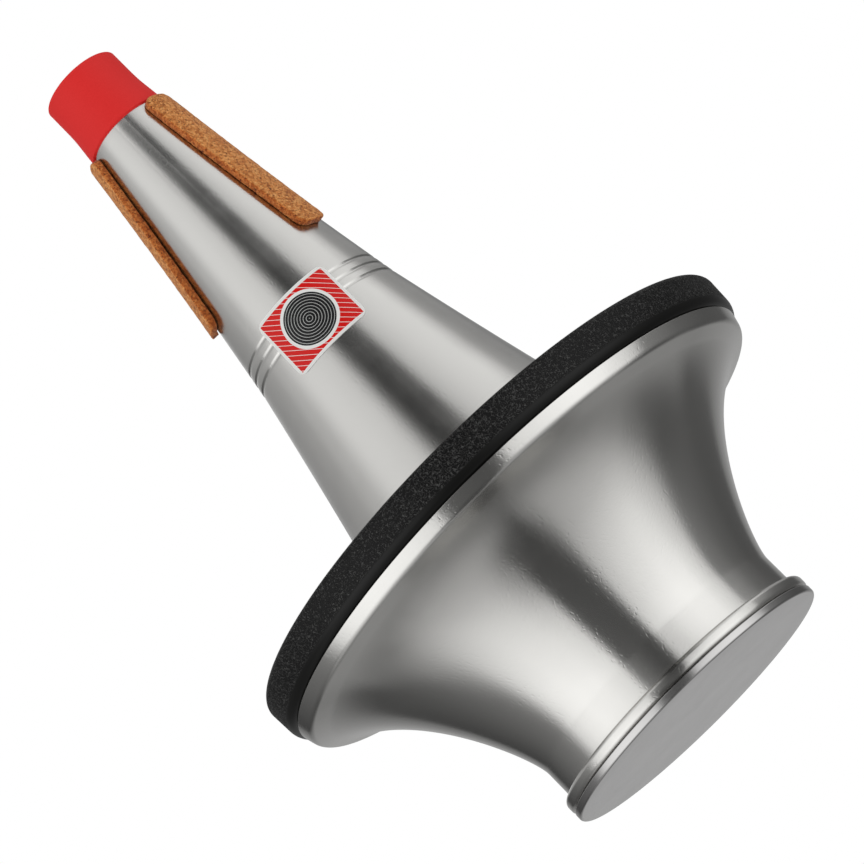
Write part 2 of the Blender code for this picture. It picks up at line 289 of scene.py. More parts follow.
@dataclass(frozen=True)
class CorkSheet:
    """Agglomerated cork, cut and sanded: tan granules with dark flecks and small pits.

    The cut sides are painted a deeper brown, a painted shade for the shadow that falls on them; the sanded face looks
    dusty at a low angle.
    The strip's half sizes are in millimetres, as its UV map is.
    """

    name: str
    half_length: float = 38.3
    half_width: float = 6.5
    corner: float = 3.6
    side_margin: float = 0.45
    granule: float = 0.9 * MM
    fleck: float = 0.8 * MM
    speckle: float = 0.35 * MM
    roughness: float = 0.9

    def make(self) -> bpy.types.Material:
        """Build the material."""
        material, tree, shader = new_material(self.name)
        place = add_node(tree, "ShaderNodeTexCoord").outputs["Object"]
        cells = add_node(
            tree,
            "ShaderNodeTexVoronoi",
            values={"Vector": place, "Scale": 1 / self.granule, "Randomness": 1.0},
        )
        flecks = add_node(
            tree,
            "ShaderNodeTexNoise",
            values={"Vector": place, "Scale": 1 / self.fleck, "Detail": 2.0, "Roughness": 0.5, "Distortion": 0.6},
        )
        speckles = add_node(
            tree,
            "ShaderNodeTexNoise",
            values={"Vector": place, "Scale": 1 / self.speckle, "Detail": 2.0, "Roughness": 0.6},
        )
        granule_tint = add_node(tree, "ShaderNodeValToRGB", values={0: cells.outputs["Color"]})
        ramp_stops(granule_tint, [(0.05, "#A65B22"), (0.45, "#D88843"), (0.95, "#F3B068")])
        fleck_share = add_node(tree, "ShaderNodeValToRGB", values={0: flecks.outputs["Fac"]})
        ramp_stops(fleck_share, [(0.33, "#FFFFFF"), (0.40, "#000000")])
        speckle_tint = add_node(tree, "ShaderNodeValToRGB", values={0: speckles.outputs["Fac"]})
        ramp_stops(speckle_tint, [(0.32, "#ACA49C"), (0.52, "#FFFFFF")])
        tint = add_node(
            tree,
            "ShaderNodeMix",
            {"data_type": "RGBA"},
            {0: fleck_share.outputs[0], 6: granule_tint.outputs[0], 7: linear("#743A18")},
        )
        speckled = add_node(
            tree,
            "ShaderNodeMix",
            {"data_type": "RGBA", "blend_type": "MULTIPLY"},
            {0: 1.0, 6: tint.outputs[2], 7: speckle_tint.outputs[0]},
        )
        # painted shade: the cut sides are multiplied darker, standing in for the shadow on them
        side_shaded = add_node(
            tree,
            "ShaderNodeMix",
            {"data_type": "RGBA", "blend_type": "MULTIPLY"},
            {0: self.shaded_side_share(tree), 6: speckled.outputs[2], 7: linear("#EBCBB5")},
        )
        bump = add_node(
            tree,
            "ShaderNodeBump",
            values={"Strength": 0.6, "Distance": 0.2 * MM, "Height": speckles.outputs["Fac"]},
        )
        shader.inputs["Roughness"].default_value = self.roughness
        shader.inputs["Specular IOR Level"].default_value = 0.25
        shader.inputs["Sheen Weight"].default_value = 0.15
        tree.links.new(side_shaded.outputs[2], shader.inputs["Base Color"])
        tree.links.new(bump.outputs[0], shader.inputs["Normal"])
        return material


    def shaded_side_share(self, tree: bpy.types.NodeTree) -> bpy.types.NodeSocket:
        """Tell the strip's cut sides, where the painted shade goes, from its face.

        Args:
            tree: the material's node tree.

        Returns:
            A socket with one on the sides and zero on the face.
        """
        chart = add_node(tree, "ShaderNodeUVMap", {"uv_map": "flat"}).outputs[0]
        size = add_node(tree, "ShaderNodeVectorMath", {"operation": "ABSOLUTE"}, {0: chart})
        inner = (self.half_width - self.corner, self.half_length - self.corner, 0.0)
        past = add_node(tree, "ShaderNodeVectorMath", {"operation": "SUBTRACT"}, {0: size.outputs[0], 1: inner})
        corner = add_node(tree, "ShaderNodeVectorMath", {"operation": "MAXIMUM"}, {0: past.outputs[0]})
        reach = add_node(tree, "ShaderNodeVectorMath", {"operation": "LENGTH"}, {0: corner.outputs[0]})
        share = add_node(
            tree,
            "ShaderNodeMapRange",
            {"interpolation_type": "SMOOTHSTEP"},
            {0: reach.outputs["Value"], 1: self.corner - self.side_margin, 2: self.corner},
        )
        return share.outputs[0]


@dataclass(frozen=True)
class FoamRubberSkin:
    """Closed-cell rubber: black, crinkled like leather, and smooth on its rounded lower edge.

    The crests of the crinkles run where a soft noise crosses its middle value. They are painted lighter than the
    near-black between them, a painted highlight for their glints.
    """

    name: str
    crinkle: float = 0.95 * MM
    crest_share: float = 0.07
    relief: float = 0.35 * MM
    roughness: float = 0.5
    smooth_roughness: float = 0.32
    smooth_below: float = 89.4 * MM
    smooth_blend: float = 0.9 * MM

    def make(self) -> bpy.types.Material:
        """Build the material."""
        material, tree, shader = new_material(self.name)
        place = add_node(tree, "ShaderNodeTexCoord").outputs["Object"]
        height = add_node(tree, "ShaderNodeSeparateXYZ", values={0: place}).outputs[2]
        skin = add_node(
            tree,
            "ShaderNodeMapRange",
            {"interpolation_type": "SMOOTHSTEP"},
            {0: height, 1: self.smooth_below, 2: self.smooth_below + self.smooth_blend},
        ).outputs[0]
        folds = add_node(
            tree,
            "ShaderNodeTexNoise",
            values={"Vector": place, "Scale": 1 / self.crinkle, "Detail": 1.5, "Roughness": 0.6, "Distortion": 0.5},
        )
        centred = add_node(
            tree, "ShaderNodeMath", {"operation": "SUBTRACT"}, {0: folds.outputs["Fac"], 1: 0.5}
        )
        away = add_node(tree, "ShaderNodeMath", {"operation": "ABSOLUTE"}, {0: centred.outputs[0]})
        crest = add_node(
            tree,
            "ShaderNodeMapRange",
            {"interpolation_type": "SMOOTHSTEP"},
            {0: away.outputs[0], 1: self.crest_share, 2: 0.0},
        ).outputs[0]
        raised = add_node(tree, "ShaderNodeMath", {"operation": "MULTIPLY"}, {0: crest, 1: skin})
        # painted highlight: the crinkle crests are coloured lighter than the near-black between them, standing in for
        # glints on the crests
        crest_glint = add_node(tree, "ShaderNodeValToRGB", values={0: crest})
        ramp_stops(crest_glint, [(0.2, "#020202"), (0.95, "#4C4C4B")])
        tint = add_node(
            tree,
            "ShaderNodeMix",
            {"data_type": "RGBA"},
            {0: skin, 6: linear("#0E0E0D"), 7: crest_glint.outputs[0]},
        )
        bump = add_node(
            tree,
            "ShaderNodeBump",
            values={"Strength": 1.0, "Distance": self.relief, "Height": raised.outputs[0]},
        )
        gloss = add_node(
            tree,
            "ShaderNodeMapRange",
            values={0: skin, 3: self.smooth_roughness, 4: self.roughness},
        )
        shader.inputs["Specular IOR Level"].default_value = 0.2
        tree.links.new(gloss.outputs[0], shader.inputs["Roughness"])
        tree.links.new(tint.outputs[2], shader.inputs["Base Color"])
        tree.links.new(bump.outputs[0], shader.inputs["Normal"])
        return material


@dataclass(frozen=True)
class WoolFelt:
    """Pressed wool felt: grey fibres that scatter light softly."""

    name: str
    fibre: float = 0.6 * MM

    def make(self) -> bpy.types.Material:
        """Build the material."""
        material, tree, shader = new_material(self.name)
        place = add_node(tree, "ShaderNodeTexCoord").outputs["Object"]
        fibres = add_node(
            tree,
            "ShaderNodeTexNoise",
            values={"Vector": place, "Scale": 1 / self.fibre, "Detail": 6.0, "Roughness": 0.75},
        )
        tint = add_node(tree, "ShaderNodeValToRGB", values={0: fibres.outputs["Fac"]})
        ramp_stops(tint, [(0.3, "#4A4A48"), (0.7, "#83827E")])
        bump = add_node(
            tree,
            "ShaderNodeBump",
            values={"Strength": 0.8, "Distance": 0.3 * MM, "Height": fibres.outputs["Fac"]},
        )
        shader.inputs["Roughness"].default_value = 1.0
        shader.inputs["Sheen Weight"].default_value = 0.4
        tree.links.new(tint.outputs[0], shader.inputs["Base Color"])
        tree.links.new(bump.outputs[0], shader.inputs["Normal"])
        return material


class Outline:
    """A closed outline in the plane of the axis, drawn corner by corner."""

    ARC_STEP = math.radians(9)

    def __init__(self) -> None:
        """Start an empty outline."""
        self.corners: list[tuple[float, float, float]] = []

    def to(self, radius: float, height: float, rounding: float = 0.0) -> "Outline":
        """Add a corner.

        Args:
            radius: distance from the axis.
            height: height above the end plate's face.
            rounding: radius of the round that takes the corner off.

        Returns:
            The outline itself, so that corners can be chained.
        """
        self.corners.append((radius, height, rounding))
        return self

    def along(self, points: list[tuple[float, float]]) -> "Outline":
        """Add the points of a curve as they are."""
        self.corners.extend((radius, height, 0.0) for radius, height in points)
        return self

    def points(self) -> list[tuple[float, float]]:
        """Work out the outline with its rounds.

        Returns:
            Points as (radius, height), in order, without the first one repeated.
        """
        line: list[tuple[float, float]] = []
        for index, (radius, height, rounding) in enumerate(self.corners):
            here = Vector((radius, height))
            if rounding <= 0:
                line.append((radius, height))
                continue
            before = Vector(self.corners[index - 1][:2]) - here
            after = Vector(self.corners[(index + 1) % len(self.corners)][:2]) - here
            half = before.angle(after) / 2
            reach = min(rounding / math.tan(half), 0.48 * before.length, 0.48 * after.length)
            centre = here + (before.normalized() + after.normalized()).normalized() * (reach / math.cos(half))
            first = here + before.normalized() * reach - centre
            last = here + after.normalized() * reach - centre
            sweep = first.angle_signed(last)
            steps = max(2, round(abs(sweep) / self.ARC_STEP))
            for step in range(steps + 1):
                turned = Matrix.Rotation(-sweep * step / steps, 2) @ first
                line.append(tuple(centre + turned))
        return line


def bezier(corners: list[tuple[float, float]], steps: int) -> list[tuple[float, float]]:
    """Points on a cubic curve.

    Args:
        corners: the four control points.
        steps: how many straight runs stand for the curve.

    Returns:
        The points, both ends included.
    """
    points = []
    for step in range(steps + 1):
        t = step / steps
        weights = ((1 - t) ** 3, 3 * t * (1 - t) ** 2, 3 * t * t * (1 - t), t**3)
        points.append(tuple(sum(w * c[axis] for w, c in zip(weights, corners)) for axis in (0, 1)))
    return points


def beside(points: list[tuple[float, float]], distance: float) -> list[tuple[float, float]]:
    """The line that runs beside another on its left.

    Args:
        points: the line, in order.
        distance: how far apart the two lines are.

    Returns:
        As many points as the first line has.
    """
    line = []
    last = len(points) - 1
    for index, point in enumerate(points):
        ahead = Vector(points[min(index + 1, last)]) - Vector(points[max(index - 1, 0)])
        left = Vector((-ahead.y, ahead.x)).normalized()
        line.append((point[0] + left.x * distance, point[1] + left.y * distance))
    return line


def start_piece(name: str) -> bpy.types.Object:
    """Name the primitive that was just added.

    Args:
        name: the piece's name.

    Returns:
        The new piece.
    """
    piece = bpy.context.active_object
    piece.name = name
    piece.data.name = name
    return piece


@dataclass(frozen=True)
class Lathe:
    """Turns outlines into solids round the mute's axis, as the real metal is spun."""

    sides: int = 224
    sharp_angle: float = math.radians(32)

    def turn(self, name: str, outline: Outline) -> bpy.types.Object:
        """Turn one piece.

        Args:
            name: the piece's name.
            outline: its closed outline.

        Returns:
            The finished mesh object, its place in its mesh.
        """
        points = outline.points()
        bpy.ops.object.select_all(action="DESELECT")
        bpy.ops.mesh.primitive_plane_add(size=MM, location=(0, 0, 0))
        piece = start_piece(name)
        bpy.ops.object.mode_set(mode="EDIT")
        bpy.ops.mesh.select_all(action="SELECT")
        bpy.ops.mesh.merge(type="CENTER")
        bpy.ops.transform.translate(value=(points[0][0], 0, points[0][1]))
        for before, after in zip(points, points[1:] + points[:1]):
            step = (after[0] - before[0], 0, after[1] - before[1])
            if before[0] == after[0] == 0.0:
                break
            bpy.ops.mesh.extrude_vertices_move(TRANSFORM_OT_translate={"value": step})
        bpy.ops.mesh.select_all(action="SELECT")
        bpy.ops.mesh.remove_doubles(threshold=MERGE * 10)
        bpy.ops.mesh.spin(steps=self.sides, angle=math.tau, center=(0, 0, 0), axis=(0, 0, 1))
        bpy.ops.mesh.select_all(action="SELECT")
        bpy.ops.mesh.remove_doubles(threshold=MERGE * 10)
        bpy.ops.mesh.normals_make_consistent(inside=False)
        bpy.ops.object.mode_set(mode="OBJECT")
        bpy.ops.object.shade_smooth_by_angle(angle=self.sharp_angle)
        return piece


def dress(
    piece: bpy.types.Object,
    material: bpy.types.Material,
    body: Body,
    slot: Slot,
    *nodes: str,
) -> bpy.types.Object:
    """Give a piece its finish, its body and the CAD nodes that it stands for.

    Args:
        piece: the finished mesh.
        material: its finish.
        body: the body that it rides on.
        slot: the record's material slot; not used.
        nodes: the CAD nodes that it replaces.

    Returns:
        The piece.
    """
    piece.data.materials.clear()
    piece.data.materials.append(material)
    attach(piece, body.value)
    if nodes:
        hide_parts(*nodes)
    LOG.info("%s: %d faces, rides on %s", piece.name, len(piece.data.polygons), body.value)
    return piece


@dataclass(frozen=True)
class ConeShape:
    """The outer line of the two cones, which the corks and the label lie on."""

    barrel_radius: float = 47.3 * MM
    seam_radius: float = 31.5 * MM
    throat_radius: float = 16.3 * MM
    rear_bow: float = -0.26 * MM
    front_bow: float = -0.60 * MM
    rear_base: float = 110.9 * MM
    seam: float = 182.4 * MM
    gap: float = 0.3 * MM
    front_top: float = 287.9 * MM

    def rear(self, height: float) -> float:
        """Outer radius of the rear cone at a height."""
        share = (height - self.rear_base) / (self.seam - self.rear_base)
        straight = self.barrel_radius + (self.seam_radius - self.barrel_radius) * share
        return straight + 4 * self.rear_bow * share * (1 - share)

    def front(self, height: float) -> float:
        """Outer radius of the front cone at a height, without its grooves."""
        base = self.seam + self.gap
        share = (height - base) / (self.front_top - base)
        straight = self.seam_radius + (self.throat_radius - self.seam_radius) * share
        return straight + 4 * self.front_bow * share * (1 - share)

    def radius(self, height: float) -> float:
        """Outer radius of the mute's body at a height on the cones."""
        return self.rear(height) if height < self.seam else self.front(height)


@dataclass
class StraightMute:
    """The body of the mute: end plate, barrel, two cones and the red throat sleeve."""

    lathe: Lathe
    cone: ConeShape
    metal: bpy.types.Material
    plate_metal: bpy.types.Material
    red: bpy.types.Material
    sheet: float = 1.0 * MM
    wall: float = 0.9 * MM
    gap: float = 0.3 * MM
    plate_rim_height: float = 2.5 * MM
    plate_proud: float = 0.25 * MM
    plate_round: float = 0.95 * MM
    skirt_length: float = 12.0 * MM
    lap_length: float = 12.0 * MM
    groove_count: int = 2
    groove_pitch: float = 4.15 * MM
    groove_width: float = 2.2 * MM
    groove_depth: float = 0.25 * MM
    seam_line: float = 0.03 * MM
    sleeve_tip_radius: float = 15.75 * MM
    sleeve_taper: float = 18.5 * MM
    throat_tube_radius: float = 13.9 * MM
    cone_steps: int = 28

    def build(self) -> None:
        """Build and dress all the pieces of the body."""
        self.build_plate()
        self.build_barrel()
        self.build_rear_cone()
        self.build_front_cone()
        self.build_sleeve()

    def build_plate(self) -> None:
        """The closed end, a disc with a rolled rim and an upstand inside the barrel."""
        low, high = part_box("end_plate")
        face = low.z - self.plate_proud
        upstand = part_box("slide_barrel")[1].x - self.sheet - self.gap
        rings = [high.x * share / 6 for share in range(6)]
        outline = Outline().along([(radius, face) for radius in rings])
        outline.to(high.x, face, self.plate_round)
        outline.to(high.x, low.z + self.plate_rim_height, 0.25 * MM)
        outline.to(upstand, low.z + self.plate_rim_height)
        outline.to(upstand, high.z, 0.3 * MM).to(upstand - self.sheet, high.z, 0.3 * MM)
        outline.to(upstand - self.sheet, low.z + self.sheet, 0.5 * MM).to(0.0, low.z + self.sheet)
        dress(self.lathe.turn("end_cap", outline), self.plate_metal, Body.MUTE, Slot.PLATE, "end_plate")

    def build_barrel(self) -> None:
        """The tube that the cup slides on."""
        low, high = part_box("slide_barrel")
        inner = high.x - self.sheet
        outline = Outline().to(inner, low.z).to(high.x, low.z, 0.2 * MM)
        outline.to(high.x, high.z, 0.2 * MM).to(inner, high.z)
        dress(self.lathe.turn("barrel_tube", outline), self.metal, Body.MUTE, Slot.METAL, "slide_barrel")

    def build_rear_cone(self) -> None:
        """The wide cone, its skirt inside the barrel and its neck in the front cone."""
        low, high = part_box("rear_cone")
        shape = self.cone
        skirt = shape.barrel_radius - self.sheet - self.gap
        lap_step = self.wall + self.groove_depth + self.gap
        lap_low = shape.seam_radius - lap_step
        lap_high = shape.front(high.z) - lap_step
        run = shape.seam - shape.rear_base
        heights = [shape.rear_base + run * step / self.cone_steps for step in range(self.cone_steps + 1)]
        outer = [(shape.rear(height), height) for height in heights]
        turn_in = lap_step + self.wall
        inner = [(radius - self.wall, height) for radius, height in outer if height < shape.seam - turn_in]
        outline = Outline().to(skirt, low.z).to(skirt, shape.rear_base)
        outline.to(outer[0][0], outer[0][1], 0.3 * MM)
        outline.along([point for point in outer[1:] if point[1] < shape.seam - self.groove_width / 2])
        outline.along(self.groove_line(shape.seam, -0.5, 0.0))
        outline.to(lap_low, shape.seam).to(lap_high, high.z).to(lap_high - self.wall, high.z)
        outline.to(lap_low - self.wall, shape.seam - self.wall)
        outline.along(inner[:0:-1]).to(skirt - self.wall, shape.rear_base + self.wall)
        outline.to(skirt - self.wall, low.z)
        dress(self.lathe.turn("wide_cone", outline), self.metal, Body.MUTE, Slot.METAL, "rear_cone")

    def build_front_cone(self) -> None:
        """The narrow cone with its rolled grooves, and the throat tube."""
        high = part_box("front_cone")[1]
        shape = self.cone
        outer = []
        plain_start = shape.seam + self.groove_pitch * (self.groove_count + 0.5)
        for groove in range(1, self.groove_count + 1):
            outer.extend(self.groove_line(shape.seam + self.groove_pitch * groove))
        run = shape.front_top - plain_start
        for step in range(self.cone_steps):
            height = plain_start + run * step / self.cone_steps
            outer.append((shape.front(height), height))
        inner = [(radius - self.wall, height) for radius, height in outer[:-1]]
        bore = self.throat_tube_radius - self.wall
        turn_height = shape.front_top - self.wall - (shape.throat_radius - self.throat_tube_radius)
        seam_side = self.groove_line(shape.seam, self.seam_line / self.groove_width, 0.5)
        outline = Outline().along(seam_side).along(outer)
        outline.to(shape.throat_radius, shape.front_top, 0.1 * MM)
        outline.to(self.throat_tube_radius, shape.front_top)
        outline.to(self.throat_tube_radius, high.z).to(bore, high.z)
        outline.to(bore, shape.front_top - self.wall)
        outline.to(shape.front(turn_height) - self.wall, turn_height)
        outline.along(inner[::-1]).to(seam_side[0][0] - self.wall, seam_side[0][1])
        dress(self.lathe.turn("narrow_cone", outline), self.metal, Body.MUTE, Slot.METAL, "front_cone")

    def groove_line(self, middle: float, start: float = -0.5, end: float = 0.5) -> list[tuple[float, float]]:
        """The outer line over one rolled groove, or over a part of it.

        Args:
            middle: height of the groove's deepest line.
            start: where the line starts, in groove widths from the middle.
            end: where it ends.

        Returns:
            Points from the start to the end.
        """
        points = []
        steps = round(14 * (end - start))
        for step in range(steps + 1):
            offset = start + (end - start) * step / steps
            height = middle + offset * self.groove_width
            depth = self.groove_depth * math.cos(math.pi * offset) ** 2
            points.append((self.cone.radius(height) - depth, height))
        return points

    def build_sleeve(self) -> None:
        """The red sleeve over the throat tube."""
        low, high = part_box("throat_sleeve")
        inner = self.throat_tube_radius + self.gap
        bore = self.throat_tube_radius - self.wall
        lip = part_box("front_cone")[1].z + self.gap
        middle = low.z + self.sleeve_taper / 2
        side = bezier(
            [
                (high.x, low.z + 0.3 * MM),
                ((high.x + self.sleeve_tip_radius) / 2, middle),
                (self.sleeve_tip_radius, middle),
                (self.sleeve_tip_radius, low.z + self.sleeve_taper),
            ],
            16,
        )
        foot = low.z - self.gap
        outline = Outline().to(inner, foot).to(self.cone.radius(foot), foot).along(side)
        outline.to(self.sleeve_tip_radius, high.z, 0.2 * MM).to(bore, high.z, 0.4 * MM)
        outline.to(bore, lip).to(inner, lip)
        dress(self.lathe.turn("red_sleeve", outline), self.red, Body.MUTE, Slot.RED, "throat_sleeve")


@dataclass
class WrappedStrip:
    """A strip cut flat and then wrapped on the cones, such as a cork or the label."""

    cone: ConeShape
    base: float
    length: float
    width: float
    corner: float
    thickness: float
    edge_round: float
    foot_round: float
    azimuth: float
    cell: float
    gap: float
    unevenness: float = 0.0

    def build(self, name: str) -> bpy.types.Object:
        """Cut the strip, give it its thickness and wrap it.

        Args:
            name: the piece's name.

        Returns:
            The finished mesh object.
        """
        bpy.ops.object.select_all(action="DESELECT")
        bpy.ops.mesh.primitive_plane_add(size=1.0, location=(0, 0, 0))
        piece = start_piece(name)
        bpy.ops.object.mode_set(mode="EDIT")
        bpy.ops.mesh.select_all(action="SELECT")
        bpy.ops.transform.resize(value=(self.width, self.length, 1), center_override=(0, 0, 0))
        bpy.ops.mesh.bevel(offset=self.corner, segments=8, affect="VERTICES")
        bpy.ops.mesh.select_all(action="SELECT")
        bpy.ops.mesh.extrude_region_move(TRANSFORM_OT_translate={"value": (0, 0, self.thickness)})
        bpy.ops.mesh.select_all(action="SELECT")
        bpy.ops.mesh.normals_make_consistent(inside=False)
        self.round_edge(piece, self.thickness, self.edge_round)
        self.round_edge(piece, 0.0, self.foot_round)
        self.cut_cells()
        bpy.ops.object.mode_set(mode="OBJECT")
        self.wrap(piece)
        bpy.ops.object.shade_smooth_by_angle(angle=math.radians(40))
        return piece

    def round_edge(self, piece: bpy.types.Object, level: float, rounding: float) -> None:
        """Take the sharpness off the edge round the face or round the foot.

        Args:
            piece: the flat strip.
            level: the edge's height over the strip's underside.
            rounding: radius of the round, none where it is zero.
        """
        if rounding <= 0:
            return
        bpy.ops.mesh.select_all(action="DESELECT")
        bpy.ops.object.mode_set(mode="OBJECT")
        points = piece.data.vertices
        for point in points:
            point.select = abs(point.co.z - level) < MERGE
        for edge in piece.data.edges:
            edge.select = all(points[index].select for index in edge.vertices)
        bpy.ops.object.mode_set(mode="EDIT")
        bpy.ops.mesh.bevel(offset=rounding, segments=3, affect="EDGES")

    def cut_cells(self) -> None:
        """Cut the flat strip into cells small enough to bend."""
        for axis, size in ((0, self.width), (1, self.length)):
            count = round(size / self.cell)
            direction = Vector((1, 0, 0)) if axis == 0 else Vector((0, 1, 0))
            for cut in range(1, count):
                bpy.ops.mesh.select_all(action="SELECT")
                place = direction * (size * (cut / count - 0.5))
                bpy.ops.mesh.bisect(plane_co=place, plane_no=direction)

    def wrap(self, piece: bpy.types.Object) -> None:
        """Wrap the flat strip on the cones and keep its flat place as its UV map."""
        mesh = piece.data
        flat = [point.co.copy() for point in mesh.vertices]
        chart = mesh.uv_layers.active or mesh.uv_layers.new()
        chart.name = "flat"
        for loop in mesh.loops:
            place = flat[loop.vertex_index]
            chart.data[loop.index].uv = (place.x / MM, place.y / MM)
        for point in mesh.vertices:
            point.co += noise.noise_vector(point.co / (2 * MM)) * self.unevenness
            height = self.base + self.length / 2 + point.co.y
            seat = self.cone.radius(height) + self.gap
            angle = math.radians(self.azimuth) + point.co.x / seat
            reach = seat + point.co.z
            point.co = (reach * math.cos(angle), reach * math.sin(angle), height)


@dataclass
class CorkStrips:
    """The three cork strips that hold the mute in the bell."""

    cone: ConeShape
    cork: bpy.types.Material
    length: float = 76.6 * MM
    width: float = 13.0 * MM
    corner: float = 3.6 * MM
    thickness: float = 2.85 * MM
    azimuths: tuple[float, ...] = (-31.1, -167.6, 83.0)
    lifts: tuple[float, ...] = (0.25 * MM, 0.45 * MM, 0.25 * MM)

    def build(self) -> None:
        """Build and dress the strips."""
        for number, (azimuth, lift) in enumerate(zip(self.azimuths, self.lifts), start=1):
            node = f"cork_strip_{number}"
            strip = WrappedStrip(
                self.cone,
                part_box(node)[0].z,
                self.length,
                self.width,
                self.corner,
                self.thickness,
                0.5 * MM,
                0.2 * MM,
                azimuth,
                0.8 * MM,
                lift,
                0.12 * MM,
            )
            dress(strip.build(f"cork_{number}"), self.cork, Body.MUTE, Slot.CORK, node)


@dataclass(frozen=True)
class PrintedVinyl:
    """White vinyl printed in red and black: plain bars and rings, gloss under a thin film."""

    name: str
    half_width: float = 16.25
    half_height: float = 12.9
    border: float = 1.2
    disc_radius: float = 9.6
    ring_pitch: float = 1.1
    bar_pitch: float = 2.6

    def make(self) -> bpy.types.Material:
        """Build the material; the UV map holds millimetres from the label's centre."""
        material, tree, shader = new_material(self.name)
        chart = add_node(tree, "ShaderNodeUVMap", {"uv_map": "flat"}).outputs[0]
        apart = add_node(tree, "ShaderNodeSeparateXYZ", values={0: chart})
        across, up = apart.outputs[0], apart.outputs[1]
        wide = self.below(tree, self.size_of(tree, across), self.half_width - self.border)
        high = self.below(tree, self.size_of(tree, up), self.half_height - self.border)
        field = self.both(tree, wide, high)
        reach = add_node(tree, "ShaderNodeVectorMath", {"operation": "LENGTH"}, {0: chart}).outputs["Value"]
        disc = self.below(tree, reach, self.disc_radius)
        halo = self.below(tree, reach, self.disc_radius + self.border)
        rings = self.stripes(tree, reach, self.ring_pitch, 0.16)
        slant = add_node(tree, "ShaderNodeMath", {"operation": "ADD"}, {0: across, 1: up}).outputs[0]
        bars = self.stripes(tree, slant, self.bar_pitch, 0.10)
        red_bars = self.mix(tree, bars, "#D90B04", "#F0EFEC")
        framed = self.mix_sockets(tree, field, linear("#EDEDEA"), red_bars)
        ringed = self.mix(tree, rings, "#151617", "#C9CAC8")
        cleared = self.mix_sockets(tree, halo, framed, linear("#EDEDEA"))
        tint = self.mix_sockets(tree, disc, cleared, ringed)
        shader.inputs["Roughness"].default_value = 0.4
        shader.inputs["Specular IOR Level"].default_value = 0.3
        tree.links.new(tint, shader.inputs["Base Color"])
        return material

    @staticmethod
    def size_of(tree: bpy.types.NodeTree, value: bpy.types.NodeSocket) -> bpy.types.NodeSocket:
        """The size of a value without its sign."""
        return add_node(tree, "ShaderNodeMath", {"operation": "ABSOLUTE"}, {0: value}).outputs[0]

    @staticmethod
    def below(tree: bpy.types.NodeTree, value: bpy.types.NodeSocket, limit: float) -> bpy.types.NodeSocket:
        """One where a value is under a limit, else zero."""
        return add_node(tree, "ShaderNodeMath", {"operation": "LESS_THAN"}, {0: value, 1: limit}).outputs[0]

    @staticmethod
    def both(
        tree: bpy.types.NodeTree, first: bpy.types.NodeSocket, second: bpy.types.NodeSocket
    ) -> bpy.types.NodeSocket:
        """One where both values are one."""
        return add_node(tree, "ShaderNodeMath", {"operation": "MULTIPLY"}, {0: first, 1: second}).outputs[0]

    @staticmethod
    def stripes(
        tree: bpy.types.NodeTree, value: bpy.types.NodeSocket, pitch: float, share: float
    ) -> bpy.types.NodeSocket:
        """One on the thin line of each pitch.

        Args:
            tree: the material's node tree.
            value: the place across the stripes.
            pitch: the distance from line to line.
            share: the line's share of the pitch.

        Returns:
            The socket that says where the lines are.
        """
        wrapped = add_node(
            tree, "ShaderNodeMath", {"operation": "WRAP"}, {0: value, 1: pitch, 2: 0.0}
        )
        return PrintedVinyl.below(tree, wrapped.outputs[0], pitch * share)

    @staticmethod
    def mix(
        tree: bpy.types.NodeTree, share: bpy.types.NodeSocket, first: str, second: str
    ) -> bpy.types.NodeSocket:
        """Mix two sRGB hex colours by a share."""
        return PrintedVinyl.mix_sockets(tree, share, linear(first), linear(second))

    @staticmethod
    def mix_sockets(
        tree: bpy.types.NodeTree, share: bpy.types.NodeSocket, first: object, second: object
    ) -> bpy.types.NodeSocket:
        """Mix two colours or sockets by a share."""
        node = add_node(
            tree, "ShaderNodeMix", {"data_type": "RGBA"}, {0: share, 6: first, 7: second}
        )
        return node.outputs[2]


@dataclass
class ConeLabel:
    """The sticker over the seam of the two cones."""

    cone: ConeShape
    print_finish: bpy.types.Material
    height: float = 25.8 * MM
    width: float = 32.5 * MM
    corner: float = 3.0 * MM
    thickness: float = 0.12 * MM
    azimuth: float = -91.5

    def build(self) -> None:
        """Build and dress the label."""
        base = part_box("cone_label")[0].z
        strip = WrappedStrip(
            self.cone,
            base,
            self.height,
            self.width,
            self.corner,
            self.thickness,
            0.0,
            0.0,
            self.azimuth,
            1.0 * MM,
            0.06 * MM,
        )
        dress(strip.build("cone_sticker"), self.print_finish, Body.MUTE, Slot.LABEL, "cone_label")


